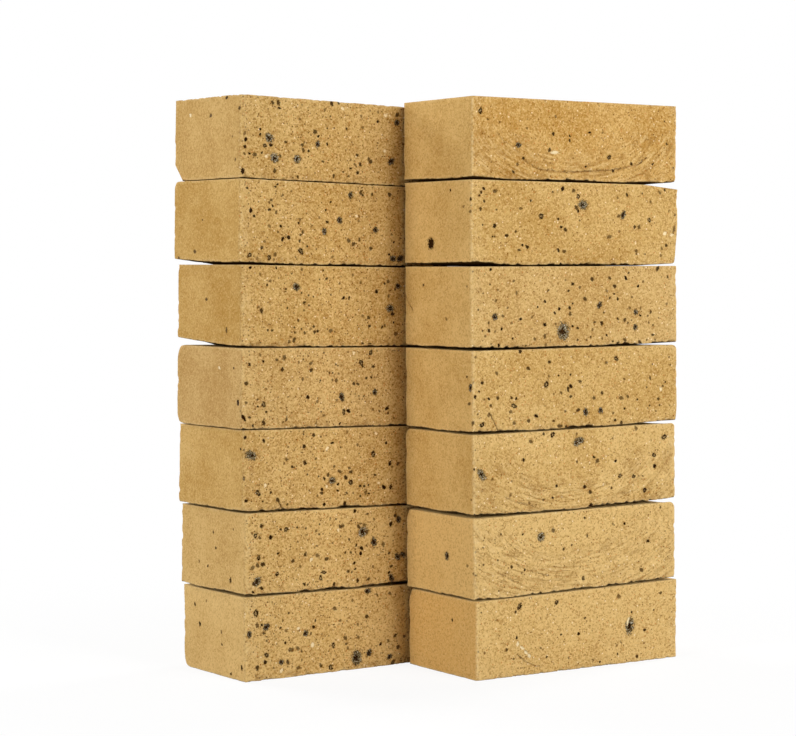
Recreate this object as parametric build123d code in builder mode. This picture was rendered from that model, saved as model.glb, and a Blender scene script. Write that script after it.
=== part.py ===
from build123d import *
import math
import os

# Fourteen solid wire-cut clay bricks, stacked dry in two free-standing columns of seven.
# The columns stand side by side, staggered along the bricks, and touch where they overlap.
# X runs along the bricks, Y across them to the back and Z up. The origin is on the ground,
# under the middle of the stack.

# One brick, at its nominal size in millimetres
BRICK_LENGTH = 215.0
BRICK_WIDTH = 102.5
BRICK_HEIGHT = 68.4
UPRIGHT_ARRIS = 4.0  # radius of the four upright corners
BED_ARRIS = 1.0  # bevel worn along the rims of the two beds
CURL_RISE = 3.5  # how far the underside curls up at an end
CURL_RUN = 30.0  # length of the underside that curls up

# How much the bricks differ and how truly they are laid
LENGTH_SPREAD = 1.5
WIDTH_SPREAD = 1.0
HEIGHT_SPREAD = 2.0
LAYING_PLAY = 5.0  # how far a brick may lie off its column's line
MAX_TWIST = 1.1  # degrees that a brick may be turned in its column
MAX_TILT = 1.4  # degrees that a bed may slope along the brick

# The two columns
COLUMN_STAGGER = 164.0  # from one column's middle to the other's, along the bricks
COLUMN_CLEARANCE = 0.2  # room left between the columns where they are closest
COLUMN_TURN = 1.6  # degrees that each column is turned, the left and the right opposite ways

# The bricks of each column from the bottom up, as shares of the spreads above:
# height, length, width, place along, stand-off, twist, tilt of the top bed, left curl and right curl
LEFT_SHARES = (
    (0.25, -0.40, -0.90, 1.00, 0.10, -0.95, -0.50, 0.30, 0.30),
    (0.10, -0.20, 0.10, 0.45, 0.00, -0.05, -0.80, 0.30, 0.40),
    (-0.15, 0.00, 0.30, 0.00, 0.00, 0.05, -0.80, 0.30, 0.30),
    (-0.55, 0.05, 0.30, -0.25, 0.00, 0.15, -0.65, 0.40, 0.50),
    (-0.25, 0.00, -0.20, -0.10, 0.00, -0.15, -0.65, 1.00, 0.40),
    (0.30, 0.25, 0.80, -0.60, 0.05, 0.50, -0.90, 0.90, 0.30),
    (-0.30, 0.20, 0.80, -0.50, 0.05, 0.50, -1.00, 0.60, 0.40),
)
RIGHT_SHARES = (
    (-0.75, -0.15, -0.60, 0.50, 0.25, 0.50, 0.55, 0.30, 0.40),
    (0.00, -0.45, -0.10, 0.20, 0.00, 0.25, 0.55, 0.20, 1.00),
    (0.15, -0.20, 0.00, 0.05, 0.00, 0.15, 0.45, 0.30, 1.00),
    (0.05, 0.45, 0.20, 0.05, 0.00, -0.15, 0.25, 0.30, 0.90),
    (0.05, 0.60, -0.30, -0.20, 0.00, -0.45, 0.10, 0.20, 0.60),
    (0.80, 0.85, -0.30, -0.20, 0.00, -0.50, -0.25, 0.50, 0.70),
    (-0.20, 0.55, 0.60, -0.40, 0.00, 0.20, -0.15, 0.30, 1.00),
)


class Joint:
    """The plane where two bricks of a column meet, which may slope along the bricks."""

    def __init__(self, x, z, tilt):
        self.x = x
        self.z = z
        self.slope = math.tan(tilt)

    def height_at(self, x):
        return self.z + (x - self.x) * self.slope

    def plane(self):
        return Plane(origin=(self.x, 0, self.z), z_dir=(-self.slope, 0, 1))


class LaidBrick:
    """One brick's size and its place between the joints below and above it."""

    def __init__(self, name, side, below, shares):
        height, length, width, place, standoff, twist, tilt, left_curl, right_curl = shares
        self.name = name
        self.length = BRICK_LENGTH + length * LENGTH_SPREAD
        self.width = BRICK_WIDTH + width * WIDTH_SPREAD
        self.height = BRICK_HEIGHT + height * HEIGHT_SPREAD
        self.left_rise = left_curl * CURL_RISE
        self.right_rise = right_curl * CURL_RISE
        self.turn = math.radians(side * COLUMN_TURN + twist * MAX_TWIST)
        self.x = below.x + place * LAYING_PLAY
        self.y = side * (COLUMN_CLEARANCE / 2 + standoff * LAYING_PLAY + self.reach())
        self.below = below
        self.above = Joint(below.x, below.z + self.height, math.radians(tilt * MAX_TILT))

    def reach(self):
        """How far the brick reaches from its middle towards the other column."""
        far_end = self.length / 2
        near_end = far_end - (BRICK_LENGTH - COLUMN_STAGGER + 2 * LAYING_PLAY)
        lean = max(-math.sin(self.turn) * far_end, -math.sin(self.turn) * near_end)
        return self.width / 2 * math.cos(self.turn) + lean


def lay_column(word, side, table):
    """Size and place the bricks of one column, each on top of the one below."""
    column = []
    joint = Joint(-side * COLUMN_STAGGER / 2, 0, 0)
    for course, shares in enumerate(table, start=1):
        laid = LaidBrick(f"{word}_brick_{course}", side, joint, shares)
        joint = laid.above
        column.append(laid)
    return column


def make_brick(laid):
    """One solid brick: an underside that curls up at the ends, a sloping top and worn arrises."""
    slope = laid.below.slope
    bed = Plane(
        origin=(laid.x, laid.y, laid.below.height_at(laid.x)),
        x_dir=(math.cos(laid.turn), math.sin(laid.turn), slope * math.cos(laid.turn)),
        z_dir=(-slope, 0, 1),
    )
    elevation = Plane(origin=bed.origin, x_dir=bed.x_dir, z_dir=-bed.y_dir)
    across = Axis(bed.origin, bed.y_dir)
    upward = Axis(bed.origin, bed.z_dir)
    end = laid.length / 2
    blank_top = laid.height + laid.length * math.tan(math.radians(2 * MAX_TILT))

    with BuildPart() as brick:
        with BuildSketch(elevation):
            with BuildLine():
                under = Line((CURL_RUN - end, 0), (end - CURL_RUN, 0))
                right_curl = TangentArc(under @ 1, (end, laid.right_rise), tangent=(1, 0))
                left_curl = TangentArc(under @ 0, (-end, laid.left_rise), tangent=(-1, 0))
                Polyline(right_curl @ 1, (end, blank_top), (-end, blank_top), left_curl @ 1)
            make_face()
        extrude(amount=laid.width / 2, both=True)
        split(bisect_by=laid.above.plane(), keep=Keep.BOTTOM)

        fillet(brick.edges().filter_by(upward), radius=UPRIGHT_ARRIS)

        top_rim = brick.faces().sort_by(upward)[-1].edges()
        low_edges = brick.edges().filter_by_position(upward, 0, laid.height / 4)
        curl_starts = low_edges.filter_by(across).filter_by_position(upward, 0, 0)
        chamfer(top_rim + (low_edges - curl_starts), length=BED_ARRIS)

    brick.part.label = laid.name
    return brick.part


left_column = lay_column("left", 1, LEFT_SHARES)
right_column = lay_column("right", -1, RIGHT_SHARES)
pieces = [make_brick(laid) for laid in left_column + right_column]

# The stack is moved so that the middle of its box stands on the origin
middle = Compound(pieces).bounding_box().center()

os.makedirs("parts", exist_ok=True)
for piece in pieces:
    export_step(Location((-middle.X, -middle.Y, 0)) * piece, f"parts/{piece.label}.step")
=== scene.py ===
import math

import bpy
import numpy as np
from mathutils import Matrix, Vector
from mathutils.geometry import delaunay_2d_cdt


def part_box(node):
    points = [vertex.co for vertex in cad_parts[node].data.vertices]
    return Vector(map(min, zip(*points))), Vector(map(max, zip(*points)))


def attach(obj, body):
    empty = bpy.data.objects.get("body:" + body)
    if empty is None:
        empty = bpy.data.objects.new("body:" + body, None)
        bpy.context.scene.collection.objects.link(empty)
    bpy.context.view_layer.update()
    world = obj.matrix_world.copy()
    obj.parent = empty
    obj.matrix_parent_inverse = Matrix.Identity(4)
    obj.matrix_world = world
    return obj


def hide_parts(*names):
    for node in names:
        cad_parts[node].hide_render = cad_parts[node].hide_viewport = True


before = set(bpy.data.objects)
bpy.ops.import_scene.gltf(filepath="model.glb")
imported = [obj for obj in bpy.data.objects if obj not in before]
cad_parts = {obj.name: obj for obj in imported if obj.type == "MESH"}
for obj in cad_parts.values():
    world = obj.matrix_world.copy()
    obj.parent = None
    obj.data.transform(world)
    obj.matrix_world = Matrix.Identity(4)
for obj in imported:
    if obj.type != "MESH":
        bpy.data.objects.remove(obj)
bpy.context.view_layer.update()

# Fourteen buff wire-cut bricks in two columns, each a worn mesh in place of its plain CAD node.
# Lengths are millimetres, as in the part's source, until they are written into Blender's data.
METRES = 0.001

# The camera, fitted to the photograph
IMAGE_WIDTH = 796
IMAGE_HEIGHT = 736
FOCAL_PIXELS = 2310.0
SENSOR_WIDTH = 36.0
CAMERA_PLACE = np.array((-1144.0, -1617.4, 343.1))
CAMERA_HEADING = math.radians(34.514)  # from +Y towards +X
CAMERA_PITCH = math.radians(2.586)  # downwards
CAMERA_ROLL = math.radians(-0.020)

# The studio in metres and degrees: softboxes by name, turn from the front towards the right, width and level.
# A level of 1 lights a face that looks straight at the softbox so that its colour shows as it is written.
SOFTBOX_DISTANCE = 3.0
SOFTBOX_HEIGHT = 1.8
SOFTBOX_RISE = math.radians(18)
LIGHT_TARGET = (0.0, 0.0, 0.25)
SOFTBOXES = (
    ("key_light", 5.0, 0.45, 0.38),
    ("front_light", 19.0, 1.6, 0.54),
    ("left_light", -87.0, 0.8, 0.56),
    ("back_light", 197.0, 1.5, 0.8),
    ("right_light", 98.0, 0.8, 0.7),
)
WORLD_LEVEL = 0.05
FLOOR_COLOUR = (0.45, 0.45, 0.45, 1.0)
SHADOW_SHARE = 0.12  # how much of the floor's own shading shows under its white, next to the bricks
SHADOW_REACH = 0.75  # distance from the middle at which that share is down to nothing
FULL_SHADOW = 0.15  # distance from the middle up to which that share is whole
FLOOR_WIDTH = 24.0
WHITE = (1.0, 1.0, 1.0, 1.0)

# The clay's surface
CLAY_ROUGHNESS = 0.92
SPOT_ROUGHNESS = 0.6
EVEN_ROUGHNESS = 0.9
CLAY_SPECULAR = 0.04
BUMP_HEIGHT = 0.9
# The export keeps a roughness picture for ten bricks at most, so the other four have an even roughness
EVEN_BRICKS = ("left_brick_1", "left_brick_2", "right_brick_1", "right_brick_2")

# How finely a brick's mesh is divided
COLUMN_STEP = 1.4
CORNER_STEPS = 6
WALL_ROWS = 42
RIM_STEPS = 5
MARGIN_SHARES = (1.0, 0.6, 0.3, 0.1)
MARGIN_DEPTH = 24.0  # how far a joint stays open behind the arris
HIDDEN_BED_STEP = 22.0
SHOWN_BED_STEP = 2.6

# A brick's wear
FACE_CLEARANCE = 0.12  # what is left between the mesh and the ideal box
BED_CLEARANCE = 0.1
SMALLEST_RADIUS = 0.3
RUBBED_END = 0.6  # how pale the rubbed patches at the ends of the long faces are
RIM_PALENESS = 0.6
BED_GRAIN = 0.8  # how grainy the beds are
END_ROUGHNESS = 0.45  # how rough the rims of an end are, for those of a long face
LOWER_RIM = (0.35, 3.4)  # smallest and largest radius
UPPER_RIM = (0.35, 2.6)
GROUND_CURL = 0.2  # share of its lift that a corner on the ground has
RADIUS_WANDER = 0.22  # how far an upright arris's radius wanders, for its own size
RAGGED_UPRIGHT = 1.1  # how deep the nicks along an upright arris are
WAVE_LENGTH = 48.0
WAVE_HEIGHT = 0.2
GRAIN_SIZE = np.array((3.4, 3.4, 2.8))
CRUMB_SIZE = 3.2
CRUMB_DEPTH = 1.4
CRUMB_BAND = (1.5, 7.0)  # heights over the lower rim between which the crumbled places give out
TOP_SIZE = 6.0  # size of the hollows of an upper bed that shows
TOP_DEPTH = 0.25  # their depth
SHADE_GONE_WEAR = (0.4, 2.5)  # depths of wear between which the dust and painted shade of a joint are gone
DEEP_MARK = 0.9  # depth of a mark at which its painted shade is as dark as it gets
LIFT_RUN = 52.0  # length of a long edge over which a lifted corner comes back down
FACE_DEPTH = 3.0  # how far from the plane of a face a point may lie and still be on it
UPPER_LINE = 90.0  # where the upper rim's noise is taken, clear of the lower rim's
COURSES = range(1, 8)

# Where a brick's faces lie in its texture map: two strips of the wall, one over the other, and the
# beds over both
MAP_MARGIN = 0.004
STRIP_LOW = (0.004, 0.348)
STRIP_HEIGHT = 0.336
BED_LOW = 0.692
BED_HEIGHT = 0.304
HIDDEN_SQUEEZE = 0.2  # how much the hidden margin under a brick is squeezed in its strip

# Large odd numbers that scramble a cell's place into its noise
CELL_FACTORS = np.array((374761393, 668265263, 974711), dtype=np.int64)
SEED_FACTOR = 362437
MIXING_FACTOR = 1274126177

# Corners round the plan, in the order that the columns of a mesh follow: back left, front left,
# front right, back right. The face after each is the left end, the front, the right end, the back.
CORNER_SIGNS = np.array(((-1, 1), (-1, -1), (1, -1), (1, 1)))
CORNER_START = np.radians((90, 180, 270, 360))
LEFT_END, FRONT, RIGHT_END, BACK = range(4)

# Radius of the upright arrises of each column's bricks, in the corners' order
UPRIGHT_RADII = {"left": (2.2, 2.2, 3.5, 5.0), "right": (2.6, 2.2, 2.0, 5.0)}
ARRIS_PALENESS = {"left": 0.35, "right": 0.9}

# How grainy each column's long faces are
GRAININESS = {"left": 0.95, "right": 0.62}

# How far the joint under each course is open at the face
OPEN_JOINTS = {
    "left": (0.15, 2.0, 1.4, 0.7, 0.8, 0.9, 0.35),
    "right": (0.15, 1.1, 1.7, 1.4, 1.2, 1.2, 1.5),
}

# How far the underside's corners are lifted off the brick below, in the corners' order
DEFAULT_LIFT = (0.5, 0.5, 0.5, 0.5)
LIFTS = {
    "left_brick_2": (0.6, 1.0, 0.6, 0.5),
    "left_brick_3": (0.4, 0.6, 0.5, 0.5),
    "left_brick_4": (0.3, 0.3, 0.4, 0.4),
    "left_brick_5": (5.6, 1.0, 0.5, 0.5),
    "left_brick_6": (3.4, 1.0, 0.4, 0.5),
    "left_brick_7": (0.2, 0.3, 0.6, 0.5),
    "right_brick_2": (0.4, 1.0, 0.9, 0.8),
    "right_brick_3": (0.8, 2.2, 1.4, 1.2),
    "right_brick_4": (0.8, 1.4, 1.2, 1.2),
    "right_brick_5": (1.4, 1.4, 0.7, 0.8),
    "right_brick_6": (1.9, 2.5, 1.0, 1.0),
    "right_brick_7": (0.8, 1.2, 2.0, 1.6),
}

# Bricks whose upper rim is ragged all round and stands up round a sunken bed, and how deep its dents are
RAGGED_TOPS = {"left_brick_7": 1.2}

# Corners and edges that are worn round or knocked off: which one, as signs along, across and up
# with 0 for a whole edge, and how far the wear reaches along each
ROUND, CHIP = "round", "chip"
WORN = {
    "left_brick_7": ((CHIP, (-1, 1, -1), (10, 26, 17)),),
    "left_brick_6": ((ROUND, (-1, 1, 1), (8, 10, 8)), (ROUND, (-1, 1, -1), (6, 10, 8))),
    "left_brick_4": ((ROUND, (-1, 1, 1), (10, 14, 14)), (ROUND, (-1, 1, -1), (12, 14, 12))),
    "left_brick_1": ((ROUND, (-1, 1, -1), (10, 14, 12)),),
    "right_brick_7": ((CHIP, (1, 0, -1), (3, 0, 13)),),
    "right_brick_6": (
        (CHIP, (1, 0, -1), (4.5, 0, 44)),
        (ROUND, (1, 0, -1), (9, 0, 11)),
        (CHIP, (1, 0, 1), (38, 0, 3.5)),
    ),
    "right_brick_5": ((ROUND, (1, 0, 1), (2.5, 0, 3.5)), (ROUND, (1, 0, -1), (4.5, 0, 8))),
    "right_brick_4": ((ROUND, (1, 0, 1), (6, 0, 7)), (CHIP, (1, 0, -1), (3, 0, 22))),
    "right_brick_3": (
        (ROUND, (1, 0, 1), (5, 0, 8)),
        (CHIP, (1, 0, -1), (2.5, 0, 13)),
        (ROUND, (-1, 1, 1), (10, 14, 10)),
    ),
    "right_brick_2": (
        (ROUND, (1, 0, 1), (7, 0, 9)),
        (ROUND, (1, 0, -1), (4, 0, 6)),
        (ROUND, (-1, 1, 1), (10, 18, 14)),
    ),
    "right_brick_1": ((ROUND, (-1, 1, 1), (10, 18, 14)),),
}

# Rows of drag marks in a curve like a smile: the middle as a pixel of the photograph, and the
# half width and the depth of the curve
SMILES = {
    "right_brick_7": ((575, 118), 88.0, 46.0),
    "right_brick_3": ((572, 436), 96.0, 58.0),
    "right_brick_2": ((575, 502), 110.0, 62.0),
}
PLAIN_DRAG = 0.3  # strength of the straight drag marks low on the other long faces
DRAG_SPACING = 3.6
DRAG_LENGTH = 16.0
DRAG_DEPTH = 0.55

# Cracks as pixels of the photograph, and how strong each is
CRACKS = {
    "right_brick_7": (
        (0.3, ((497, 133), (506, 142), (520, 153))),
        (0.75, (
            (523, 158), (529, 163.5), (540, 169), (556, 171.5), (575, 172),
            (592, 171), (612, 170), (630, 167), (639, 164), (646, 158),
        )),
    ),
    "right_brick_5": ((0.8, ((405, 295), (408, 303), (412, 310))),),
    "right_brick_4": ((0.9, ((490, 413), (494, 421), (499, 431))),),
    "right_brick_3": (
        (0.5, ((506, 498), (515, 502), (527, 504.5), (536, 506))),
        (0.6, ((607, 506), (612, 503), (618, 501))),
        (0.4, ((620, 494), (638, 490))),
    ),
    "right_brick_2": (
        (0.4, ((517, 565), (530, 571), (548, 576))),
        (0.4, ((500, 573), (512, 580), (525, 586))),
    ),
    "right_brick_1": ((0.8, ((518, 655), (525, 661), (532, 665), (541, 667))),),
    "left_brick_3": ((0.9, ((279.4, 502), (281, 507), (286, 511))),),
}
CRACK_DEPTH = 0.6
CRACK_HALF_WIDTH = 1.6
CRACK_FADE = 1.5  # length over which a crack gives out beyond its ends
CRACK_REACH = (3.0, 5.0)  # distances from a crack between which it stops mattering

# How pale each brick is, against the others
PALENESS = {
    "left": (0.75, 0.6, 0.2, 0.15, 0.05, 0.1, 0.15),
    "right": (1.0, 1.35, 0.55, 0.1, 0.0, -0.1, -0.25),
}

# How much paler each brick's ends are than its long faces: partly the brick's own tone, partly painted light
# and shade that evens out how the lamps light each column's ends
END_PALENESS = {
    "left": (-0.3, -0.55, -0.4, -0.7, -0.8, -0.5, -0.35),
    "right": (0.3, -0.2, -0.45, 0.25, 0.3, 0.45, 0.3),
}

# How much more orange, or with a minus greyer, each brick is: its long faces and its ends
WARMTH = {
    "left": ((0.1, -0.2), (0.0, -0.2), (-0.1, -0.1), (-0.2, -0.3), (0.0, -0.1), (0.0, 0.0), (0.0, -0.2)),
    "right": ((0.1, 0.4), (0.0, 0.2), (0.0, 0.0), (0.0, 0.0), (-0.2, 0.0), (0.0, 0.0), (0.3, 0.0)),
}

# Bricks whose ends sit tight on the brick below, and the share of the lower rim's rounding, of its
# opening and of its dust and painted shade that is left there
TIGHT_ENDS = {"left_brick_7": 0.7, "left_brick_4": 0.7}

# Darker stains: the middle as a pixel of the photograph, the half width, the half height and how
# much darker
STAINS = {"left_brick_4": ((214, 392), 30.0, 24.0, 0.5)}

# Kinds of spot: radius, and tone, which is 0 for dark iron, 0.5 for a dark core in a grey halo, 1 for
# a dark ring round a pale middle and 2 for a pale scar. Below 0 an iron spot is fainter.
SPECK, SPOT, RING, BLOT, GREY_BLOT, SCAB, SLAG, SCAR, PLUG = range(9)
SPOT_KINDS = {
    SPECK: (1.0, 0.0),
    SPOT: (1.45, 0.0),
    RING: (1.9, 1.0),
    BLOT: (2.4, 0.35),
    GREY_BLOT: (3.4, 0.5),
    SCAB: (4.6, 0.5),
    SLAG: (6.8, 0.5),
    SCAR: (1.3, 2.0),
    PLUG: (5.0, 0.0),
}
FAINTNESS = {SPECK: 0.6, SPOT: 0.4}  # how far below 0 the tone of a spot of these kinds may be

# The spots that can be picked out, as pixels of the photograph. One that is far from round also has how long
# it is for its width, and its turn from upright.
SPOTS = {
    "left_brick_7": {
        SPECK: (
            (232, 136.5), (235, 159.5), (279.5, 108), (300, 119), (325, 110), (339, 103), (378.5, 112),
            (361.5, 116), (347, 129), (260.5, 129), (260.5, 134), (245, 133), (244.5, 153.5),
            (249.5, 153.5), (286, 142), (262, 152.5), (280.5, 156), (304.5, 142), (309, 151),
            (318.5, 136.5), (327.5, 144), (351, 160), (355, 164.5), (357.5, 155), (351, 168.5),
            (343.5, 172), (349, 176), (298, 177), (363, 127.5),
        ),
        SPOT: (
            (210.5, 115.5), (226.5, 97.5), (239, 108), (273, 102.5), (278.5, 102.5), (332, 103.5),
            (378, 121.5), (397.5, 115), (246, 139.5), (245, 146.5), (271, 145), (255, 154.5), (302.5, 145),
            (303.5, 150), (315.5, 132), (275, 171), (243, 171), (360.5, 164.5), (369, 159), (371, 162),
            (358, 172.5), (334, 176),
        ),
        RING: ((265, 145.5),),
        BLOT: ((391.5, 161.5), (397, 122.5), (318, 144)),
        GREY_BLOT: ((269.5, 138), (275, 158), (297.5, 159)),
        SCAR: ((190, 115.5), (266.5, 156), (385.5, 115.5), (343, 108.5), (385, 151)),
    },
    "left_brick_6": {
        SPECK: (
            (202, 220), (278, 184), (275.5, 186.5), (247.5, 188), (291.5, 191), (283, 195), (271.5, 200),
            (269.5, 202.5), (273, 206), (269.5, 209.5), (276.5, 212), (254.5, 216), (269.5, 226),
            (300.5, 220), (299, 223), (303, 232), (301, 235), (278, 232), (326, 210), (331, 202),
            (319.5, 217.5), (327.5, 222), (363, 195), (376, 192), (359.5, 216.5), (359, 221), (265, 241.5),
            (300, 241), (307.5, 246.5), (248, 257), (274, 259.5), (257.5, 258), (359.5, 240), (332.5, 257),
            (392, 234.5), (394, 242), (389.5, 254.5),
        ),
        SPOT: (
            (194.5, 251.5), (178.5, 258.5), (251, 210.5, 1.7, 0), (281, 226), (361, 192.5), (372.5, 194.5),
            (390, 194.5), (289, 237.5), (283, 239), (262, 247.5), (275.5, 254.5), (349, 240.5), (354, 244),
            (371, 248.5),
        ),
        RING: ((301.5, 251), (250, 255), (269.5, 257.5)),
        BLOT: ((351, 195), (340, 220.5), (324.5, 231.5), (376, 230), (393.5, 258.5), (400.5, 258.5)),
        SCAR: ((357, 216),),
    },
    "left_brick_5": {
        SPECK: (
            (250.5, 267.5), (276.5, 268), (302, 269.5), (292, 273.5), (260.5, 274), (270.5, 281),
            (267.5, 285), (286, 289), (327, 278.5), (353, 275), (361, 282.5), (340, 283.5), (385, 283.5),
            (395.5, 289.5), (389, 296), (344, 298), (349.5, 298), (259, 307), (287.5, 308), (304.5, 302.5),
            (363, 316), (394, 322.5), (385, 325.5), (382.5, 327), (298.5, 320.5), (314, 326.5), (311, 329),
            (268, 330.5), (272.5, 330.5), (295.5, 332.5), (291, 337), (305, 333), (363, 343.5),
            (370.5, 344),
        ),
        SPOT: (
            (206, 299.5), (226, 330.5, 1.7, 0), (388.5, 281.5), (377, 291.5), (262, 311), (393, 314),
            (369, 317.5), (370, 326), (396, 334), (315, 332), (318, 331), (331, 331), (290, 341.5),
            (294.5, 340),
        ),
        BLOT: ((398.5, 286),),
        GREY_BLOT: ((296.5, 287), (390.5, 308.5)),
    },
    "left_brick_4": {
        SPECK: (
            (233.5, 368), (260.5, 355), (263.5, 361.5), (299, 362.5), (303, 379), (266.5, 389),
            (332.5, 380), (339, 374), (358, 384), (363, 366.5), (369.5, 358), (371.5, 377), (366.5, 378),
            (364, 396), (317.5, 401.5), (337, 400), (324, 415.5), (316.5, 423), (340, 423.5),
            (361.5, 415.5), (373, 409.5), (379.5, 411), (394, 418), (250, 417.5), (264.5, 419.5),
            (253.5, 426), (258, 399.5), (246.5, 403), (266.5, 412), (258, 406.5), (286.5, 419.5),
            (283.5, 422),
        ),
        SPOT: (
            (277, 360), (284.5, 357.5), (249.5, 364.5), (282.5, 369.5), (311, 363.5), (311.5, 370),
            (246.5, 383.5), (336.5, 380.5), (354, 383.5), (373.5, 366.5), (308, 397),
            (237.5, 402.5, 1.6, 0), (348.5, 411), (387, 408.5), (388, 413), (243.5, 417.5, 2.0, -35),
            (264, 423),
        ),
        RING: ((361.5, 363), (371, 352.5), (344, 412), (264, 404.5)),
        BLOT: ((375, 392), (342, 397)),
        SCAR: ((354, 353), (219, 368)),
    },
    "left_brick_3": {
        SPECK: (
            (347.5, 432), (288.5, 447), (240, 449), (244, 450), (358, 445), (386.5, 443), (332.5, 443),
            (284.5, 463.5), (292.5, 467), (316, 458.5), (334.5, 466.5), (349.5, 468), (324.5, 478.5),
            (338.5, 484), (392.5, 467), (375.5, 475), (338, 490.5), (347, 493), (353.5, 493), (360.5, 486),
            (364.5, 486), (368.5, 485), (369, 493.5), (360.5, 496), (271, 492.5), (263, 501.5),
            (317.5, 496), (287.5, 504.5),
        ),
        SPOT: (
            (245.5, 437.5), (264, 441), (314, 435), (304.5, 446.5), (287, 459.5), (305.5, 463),
            (340, 471.5, 1.7, -50), (351, 472), (328.5, 475), (346, 477.5), (390, 463.5),
            (398, 464, 1.4, 60), (244, 478.5, 1.4, -20), (322, 489.5), (322, 493), (366, 492.5), (384, 487),
            (391, 487, 1.6, 20), (278, 500), (246.5, 501), (324.5, 504.5), (345.5, 504),
        ),
        RING: ((373.5, 454, 1.3, 0), (258.5, 493), (351, 482.5)),
        GREY_BLOT: ((251.5, 455.5), (332.5, 480.5)),
        SCAR: ((327.5, 448.5), (376.5, 433.5), (265.5, 485.5), (327, 486.5), (379, 483)),
    },
    "left_brick_2": {
        SPECK: (
            (213, 532), (233, 529.5), (199, 561.5), (207.5, 566), (215.5, 548), (281, 529.5),
            (297.5, 527.5), (260, 538), (252.5, 533.5), (316.5, 531), (330.5, 518), (367.5, 514),
            (374, 519), (361, 523.5), (349.5, 539.5), (356.5, 545.5), (354.5, 563), (389.5, 553),
            (351, 552.5), (345.5, 552.5), (300.5, 566.5), (278.5, 553.5), (253.5, 592.5), (304.5, 584.5),
            (308, 584.5), (352, 572), (355.5, 569), (389.5, 572.5), (373.5, 567),
        ),
        SPOT: (
            (230, 580.5), (262, 526), (271, 537.5), (340.5, 526.5), (343, 526), (355, 511), (359, 526.5),
            (364.5, 525), (367, 532.5), (362, 548.5), (361, 553.5), (383.5, 544.5, 1.5, -8), (395.5, 515.5),
            (391, 524), (305.5, 554.5), (317.5, 555.5), (327, 559), (293, 561), (263, 564.5),
            (258, 565.5, 1.6, -20), (253, 568, 1.5, 50), (254.5, 584), (262, 588.5), (334.5, 584.5),
            (348.5, 571.5), (358, 580.5), (369, 579, 1.5, 60), (391.5, 566.5),
        ),
        RING: ((286.5, 529.5), (256, 536), (259, 558), (277.5, 574), (321, 578), (324, 572.5)),
        BLOT: ((374, 542, 1.6, -15), (398, 556.5), (403, 554.5), (398.5, 519.5), (392, 578)),
        GREY_BLOT: ((363, 532), (257.5, 581.5)),
        SCAR: ((338.5, 530), (311.5, 559.5)),
    },
    "left_brick_1": {
        SPECK: (
            (194.5, 604), (206, 601), (221, 632), (221.5, 644.5), (230.5, 674), (377.5, 595),
            (352.5, 600.5), (289, 613), (283, 620.5), (315.5, 620.5), (340.5, 620.5), (262, 625),
            (280.5, 628), (358, 624.5), (286, 630.5), (264, 633.5), (311, 633.5), (267, 641), (285.5, 643),
            (388.5, 640.5), (348, 648), (346.5, 644), (301.5, 651), (334, 659.5), (302, 660), (274, 668),
        ),
        SPOT: (
            (199.5, 624), (390, 593.5), (335, 608.5), (367, 616.5), (257.5, 625.5), (314, 627),
            (345.5, 638), (358.5, 637), (395.5, 635.5), (381, 644), (398.5, 647), (404.5, 636.5),
            (298, 648.5), (291, 650, 1.9, 88), (288, 662.5), (265.5, 662.5), (257.5, 668),
            (241.5, 668, 1.5, 20), (298.5, 668), (321, 665.5), (393, 662.5),
        ),
        RING: ((256, 613.5), (333.5, 645.5), (267, 655), (331, 667.5)),
        BLOT: (
            (306, 633.5), (281.5, 662.5), (368, 591, 1.5, 88), (266.5, 627), (249.5, 634.5, 1.4, 0),
            (369.5, 653), (390, 656.5),
        ),
        SCAB: ((357, 658, 1.3, 0),),
        SCAR: ((312.5, 645), (282, 670.5), (298.5, 628.5)),
    },
    "right_brick_7": {
        SPECK: (
            (488, 119), (500, 122), (527.5, 128), (570, 136), (570, 140.5), (590, 132.5), (603, 132.5),
            (524, 158), (514, 172), (586, 166.5), (653, 164), (613.5, 171), (556, 116.5), (667, 144),
        ),
        SPOT: ((553.5, 134), (550, 150), (518, 164), (631.5, 164)),
        RING: ((481, 110.5), (609.5, 157.5)),
        BLOT: ((519, 145),),
        SCAR: ((555, 152.5, 3.2, 88),),
    },
    "right_brick_6": {
        SPECK: (
            (463, 206.5), (469.5, 211.5), (450, 190), (484, 188.5), (481.5, 192.5), (479.5, 195.5),
            (484.5, 201), (497, 209.5), (521, 208.5), (531, 200.5), (553, 192), (578.5, 211), (558.5, 219),
            (580, 220.5), (561.5, 227), (493, 236.5), (516, 231.5), (522.5, 245), (519.5, 250), (618, 198),
            (651, 202), (665, 190), (627.5, 195), (619.5, 231.5), (662, 248.5), (669, 211), (675, 215),
            (661, 255.5),
        ),
        SPOT: (
            (470, 199), (495.5, 191), (481, 209), (563, 189), (574, 190.5), (576.5, 207.5),
            (565.5, 229.5, 1.4, -40), (495, 226), (507, 235.5), (527.5, 247), (558.5, 250), (564.5, 251.5),
            (660, 192.5), (619, 216), (639.5, 227), (635, 227), (609.5, 237), (636.5, 251), (666.5, 245.5),
            (674, 230, 2.6, 12),
        ),
        RING: ((578.5, 196.5), (541.5, 216), (649.5, 220)),
        BLOT: ((623.5, 215),),
        PLUG: ((430.5, 243.5, 1.0, 0),),
        GREY_BLOT: ((583.5, 205),),
        SCAR: ((665, 233.5), (672, 235)),
    },
    "right_brick_5": {
        SPECK: (
            (498, 290), (607, 291), (538, 307), (532.5, 317), (521, 319), (618, 319), (595, 322),
            (513, 338.5), (607, 335), (651, 312), (423, 285), (466.5, 286.5), (446, 319), (514, 281),
            (517, 293), (548.5, 290.5), (545.5, 301.5), (496, 301), (508, 308), (503, 316), (512, 323),
            (489, 323), (502, 329), (495.5, 331.5), (485.5, 336), (483, 331), (555, 313), (556, 324),
            (573, 303.5), (573, 326), (578, 328), (593, 329.5), (591, 337), (578, 340), (587, 340),
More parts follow.
